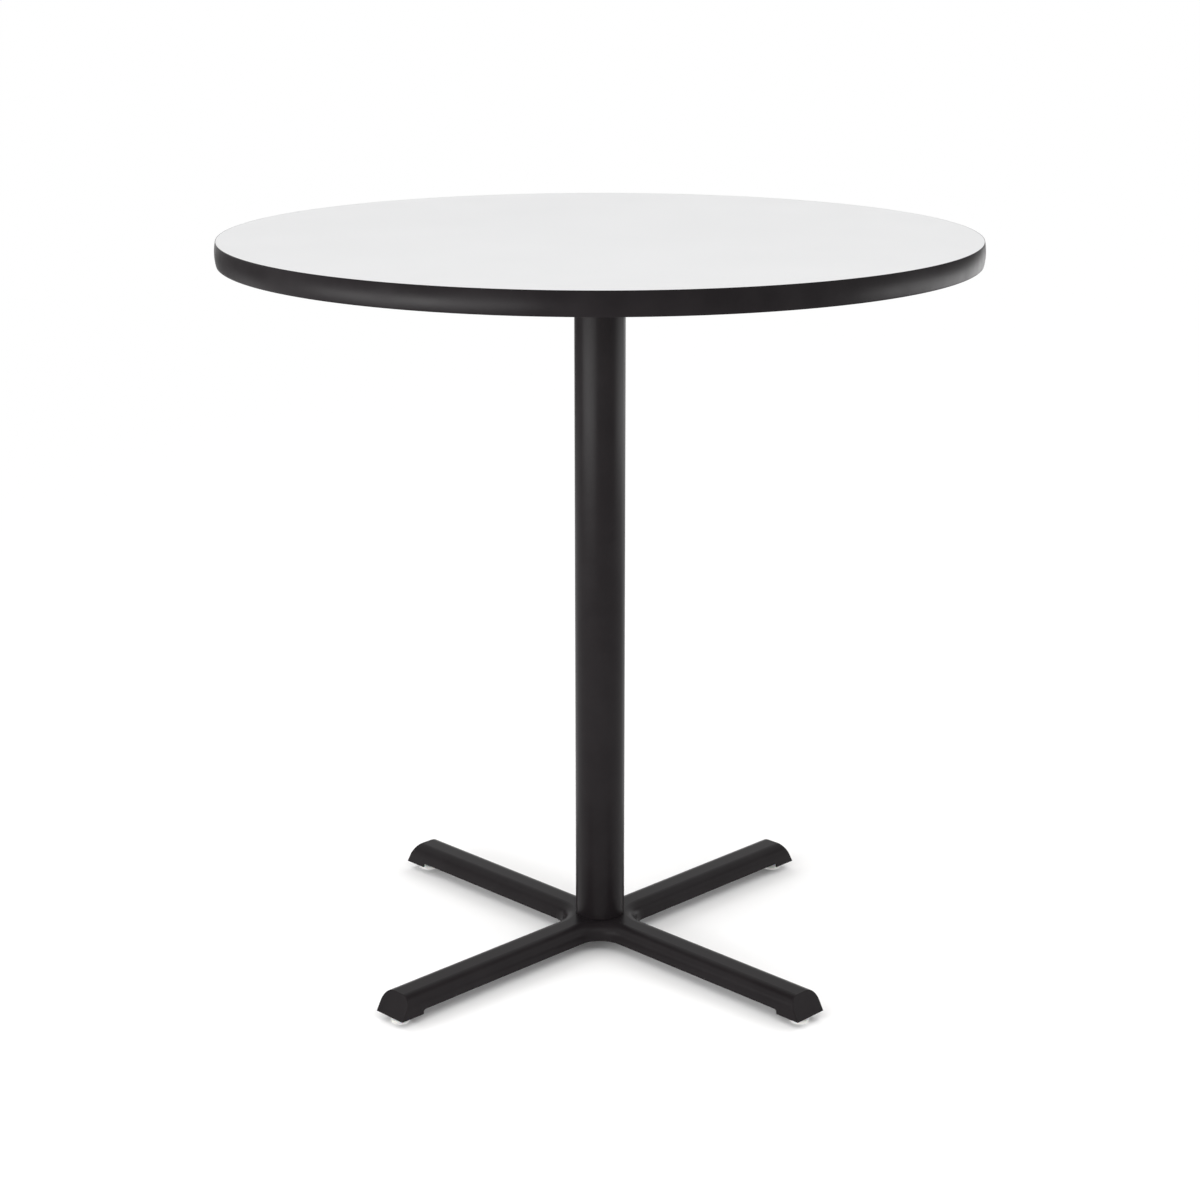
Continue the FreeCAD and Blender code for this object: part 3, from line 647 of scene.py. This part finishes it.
def glide_pad(corner, material):
    """One nylon pad: rounded at the floor, sloped up to a neck round the stem."""
    node = f"glide_pad_{corner}"
    low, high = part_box(node)
    rim = (high.x - low.x) / 2 - PAD_ROUND
    bore = STEM_RADIUS + STEM_FIT
    neck = bore + PAD_NECK_WALL - PAD_NECK_ROUND
    chamber = FOOT_RADIUS + STEM_FIT
    chamber_top = PAD_FLOOR + FOOT_HEIGHT + STEM_FIT
    section = [(0.0, 0.0)]
    section += arc((rim, PAD_ROUND), PAD_ROUND, -QUARTER_TURN, 0.0, PAD_ROUND_STEPS)
    section += arc((rim, PAD_RIM - PAD_ROUND), PAD_ROUND, 0.0, PAD_RIM_ANGLE, PAD_RIM_STEPS)
    centre = (neck, high.z - PAD_NECK_ROUND)
    section += arc(centre, PAD_NECK_ROUND, PAD_NECK_ANGLE, QUARTER_TURN, EASE_STEPS)
    section += [(bore, high.z), (bore, chamber_top), (chamber, chamber_top)]
    section += [(chamber, PAD_FLOOR), (0.0, PAD_FLOOR)]
    bm = bmesh.new()
    lathe(bm, section, GLIDE_SEGMENTS)
    piece = new_piece(f"nylon_pad_{corner}", bm)
    piece.location = middle_of(node)
    dress(piece, material, f"pad_{corner}", "nylon", node)


def glide_stem(corner, material):
    """One levelling stem: foot, chamfered wrench hexagon and right-hand thread."""
    node = f"glide_stem_{corner}"
    low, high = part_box(node)
    full = hexagon(COLLAR_HALF_FLATS)
    cut = hexagon(COLLAR_HALF_FLATS, COLLAR_HALF_FLATS)
    section = [(0.0, low.z), (FOOT_RADIUS, low.z), (FOOT_RADIUS, low.z + FOOT_HEIGHT)]
    section += [(STEM_RADIUS, low.z + FOOT_HEIGHT), (STEM_RADIUS, COLLAR_LOW), (cut, COLLAR_LOW)]
    section += [(full, COLLAR_LOW + COLLAR_CHAMFER), (full, COLLAR_HIGH - COLLAR_CHAMFER)]
    section += [(cut, COLLAR_HIGH), (STEM_RADIUS, COLLAR_HIGH)]
    section += thread(STEM_RADIUS, STEM_THREAD, STEM_PITCH, COLLAR_HIGH, high.z - STEM_CHAMFER)[1:]
    section += [(STEM_RADIUS - STEM_CHAMFER, high.z), (0.0, high.z)]
    bm = bmesh.new()
    lathe(bm, section, GLIDE_SEGMENTS)
    piece = new_piece(f"threaded_stem_{corner}", bm)
    piece.location = middle_of(node)
    dress(piece, material, f"stem_{corner}", "zinc_steel", node)


def strap_welds(bm, corner):
    """Two beads under a glide's strap, where it meets the leg's sides."""
    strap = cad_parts[f"glide_plate_{corner}"]
    middle = middle_of(strap.name)
    along = middle.normalized()
    across = Vector((-along.y, along.x, 0.0))
    places = [vertex.co - middle for vertex in strap.data.vertices]
    run = [place.dot(along) for place in places]
    reach = [place.dot(across) for place in places]
    height = Vector((0.0, 0.0, min(place.z for place in places) - WELD_SINK))
    for side in (min(reach) + WELD_SINK, max(reach) - WELD_SINK):
        wall = middle + across * side + height
        start = wall + along * (min(run) + STRAP_WELD_MARGIN)
        end = wall + along * (max(run) - STRAP_WELD_MARGIN)
        bead(bm, steps_between(start, end))


def hub_welds(bm):
    """Four beads round the hub plate, one on each diagonal."""
    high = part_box("hub_plate")[1]
    radius = high.x + WELD_SINK
    height = high.z - WELD_SINK
    sweep = math.radians(2.0 * HUB_WELD_HALF_ANGLE)
    count = round(radius * sweep / WELD_STEP)
    for diagonal in DIAGONALS:
        path = []
        for step in range(count + 1):
            angle = math.radians(diagonal - HUB_WELD_HALF_ANGLE) + sweep * step / count
            path.append(Vector((radius * math.cos(angle), radius * math.sin(angle), height)))
        bead(bm, path)


def base_welds(material):
    """Weld beads that hold the straps to the legs' sides and the hub plate to the hub."""
    bm = bmesh.new()
    for corner in CORNERS:
        strap_welds(bm, corner)
    hub_welds(bm)
    dress(new_piece("base_welds", bm), material, "table", "black_coat")


def stage_material(name):
    """A material with an empty node tree, for what stands round the table."""
    material = bpy.data.materials.new(name)
    material.use_nodes = True
    material.node_tree.nodes.clear()
    return material, material.node_tree


def stage_floor():
    """A wide white floor, clear from below and right under what stands on it."""
    bm = bmesh.new()
    bmesh.ops.create_grid(bm, size=FLOOR_HALF)
    floor = new_piece("studio_floor", bm)
    floor.location.z = -FLOOR_GAP
    material, tree = stage_material("studio_floor")
    below = add(tree, "ShaderNodeNewGeometry").outputs["Backfacing"]
    reach = add(tree, "ShaderNodeLightPath").outputs["Ray Length"]
    contact = combine(tree, reach, "LESS_THAN", FLOOR_CONTACT)
    unseen = combine(tree, below, "MAXIMUM", contact)
    paint = add(tree, "ShaderNodeBsdfDiffuse", {"Color": WHITE}).outputs["BSDF"]
    clear = add(tree, "ShaderNodeBsdfTransparent").outputs["BSDF"]
    mix = add(tree, "ShaderNodeMixShader", {0: unseen, 1: paint, 2: clear}).outputs["Shader"]
    add(tree, "ShaderNodeOutputMaterial", {"Surface": mix})
    floor.data.materials.append(material)


def studio_world():
    """Even soft white light from all round."""
    world = bpy.data.worlds.new("studio")
    bpy.context.scene.world = world
    world.use_nodes = True
    background = world.node_tree.nodes["Background"]
    background.inputs["Color"].default_value = WHITE
    background.inputs["Strength"].default_value = 1.0


def soft_box(name, place, target, size, power, beam):
    """A rectangular soft light of some watts aimed at a point, with a beam so many degrees wide."""
    lamp = bpy.data.lights.new(name, "AREA")
    lamp.shape = "RECTANGLE"
    lamp.size, lamp.size_y = size
    lamp.energy = power
    lamp.spread = math.radians(beam)
    light = bpy.data.objects.new(name, lamp)
    light.location = place
    light.rotation_euler = (Vector(target) - Vector(place)).to_track_quat("-Z", "Y").to_euler()
    light.visible_camera = False
    bpy.context.scene.collection.objects.link(light)


def strip_light(name, x, y, size, power):
    """A soft light beside the top that shines straight down on the base and the floor."""
    soft_box(name, (x, y, STRIP_HEIGHT), (x, y, 0.0), size, power, WIDE_BEAM)


def mirror_card(name, start, end, low, high, tone):
    """An upright card on a line over the floor that only mirrors in the table.

    The camera doesn't see it, and it gives neither light nor shade.
    """
    corners = [(*start, low), (*end, low), (*end, high), (*start, high)]
    bm = bmesh.new()
    bm.faces.new([bm.verts.new(corner) for corner in corners])
    card = new_piece(name, bm)
    card.visible_camera = False
    card.visible_diffuse = False
    card.visible_shadow = False
    card.visible_transmission = False
    material, tree = stage_material(name)
    glow = add(tree, "ShaderNodeEmission", {"Color": (tone, tone, tone, 1.0)}).outputs["Emission"]
    add(tree, "ShaderNodeOutputMaterial", {"Surface": glow})
    card.data.materials.append(material)


def camera():
    """The photograph's viewpoint: upright, looking along +Y and a little down."""
    data = bpy.data.cameras.new("camera")
    data.lens = CAMERA_LENS
    data.sensor_width = CAMERA_SENSOR
    view = bpy.data.objects.new("camera", data)
    view.location = CAMERA_PLACE
    view.rotation_euler = (math.radians(QUARTER_TURN - CAMERA_PITCH), 0.0, 0.0)
    bpy.context.scene.collection.objects.link(view)
    bpy.context.scene.camera = view


coat = powder_coat()
zinc = zinc_plate()
white_nylon = nylon()

laminate_sheet(laminate())
edge_moulding(edge_vinyl())
finish_node("top_core", particleboard())
finish_node("top_backer", backing_paper())
finish_node("top_spider", cast_paint())
spider_screws(zinc)
column(coat)
tie_rod(zinc)
for node in ("rod_washer", "rod_lock_washer", "rod_nut"):
    finish_node(node, zinc)
for node in ("base_shell", "hub_plate", "column_locator"):
    finish_node(node, coat)
for corner in CORNERS:
    finish_node(f"glide_plate_{corner}", coat)
    finish_node(f"glide_nut_{corner}", zinc)
    glide_stem(corner, zinc)
    glide_pad(corner, white_nylon)
base_welds(coat)

stage_floor()
studio_world()

# The side lamps make the sheen on the band and the column, and the strips light base and floor
soft_box("left_light", (-1.36, -1.18, 0.71), BAND_AIM, size=(2.2, 0.3), power=10.5, beam=100.0)
soft_box("right_light", (1.79, 0.16, 0.65), BAND_AIM, size=(1.5, 0.4), power=1.85, beam=78.0)
strip_light("front_strip", 0.0, -STRIP_DISTANCE, size=(1.4, 0.5), power=4.4)
strip_light("left_strip", -STRIP_DISTANCE, 0.0, size=(0.5, 1.2), power=1.8)
strip_light("right_strip", STRIP_DISTANCE, 0.0, size=(0.5, 1.2), power=1.8)

# Dark cards darken what the band, the column and the legs mirror, and bright ones lighten it
mirror_card("left_card", (-CARD_SIDE, 0.5), (-CARD_SIDE, 3.5), low=0.58, high=1.28, tone=0.2)
mirror_card("left_far_card", (-CARD_SIDE, 1.8), (-CARD_SIDE, 5.0), low=0.0, high=0.58, tone=0.25)
mirror_card("left_low_card", (-CARD_SIDE, 0.6), (-CARD_SIDE, 1.8), low=0.05, high=0.35, tone=1.6)
mirror_card("right_card", (CARD_SIDE, 0.5), (CARD_SIDE, 3.5), low=0.75, high=1.75, tone=0.2)
mirror_card("right_low_card", (CARD_SIDE, 1.0), (CARD_SIDE, 5.0), low=0.03, high=0.63, tone=2.5)
mirror_card("back_card", (-3.0, CARD_BACK), (3.0, CARD_BACK), low=1.2, high=3.0, tone=0.75)

camera()
bpy.context.scene.view_settings.view_transform = "Standard"
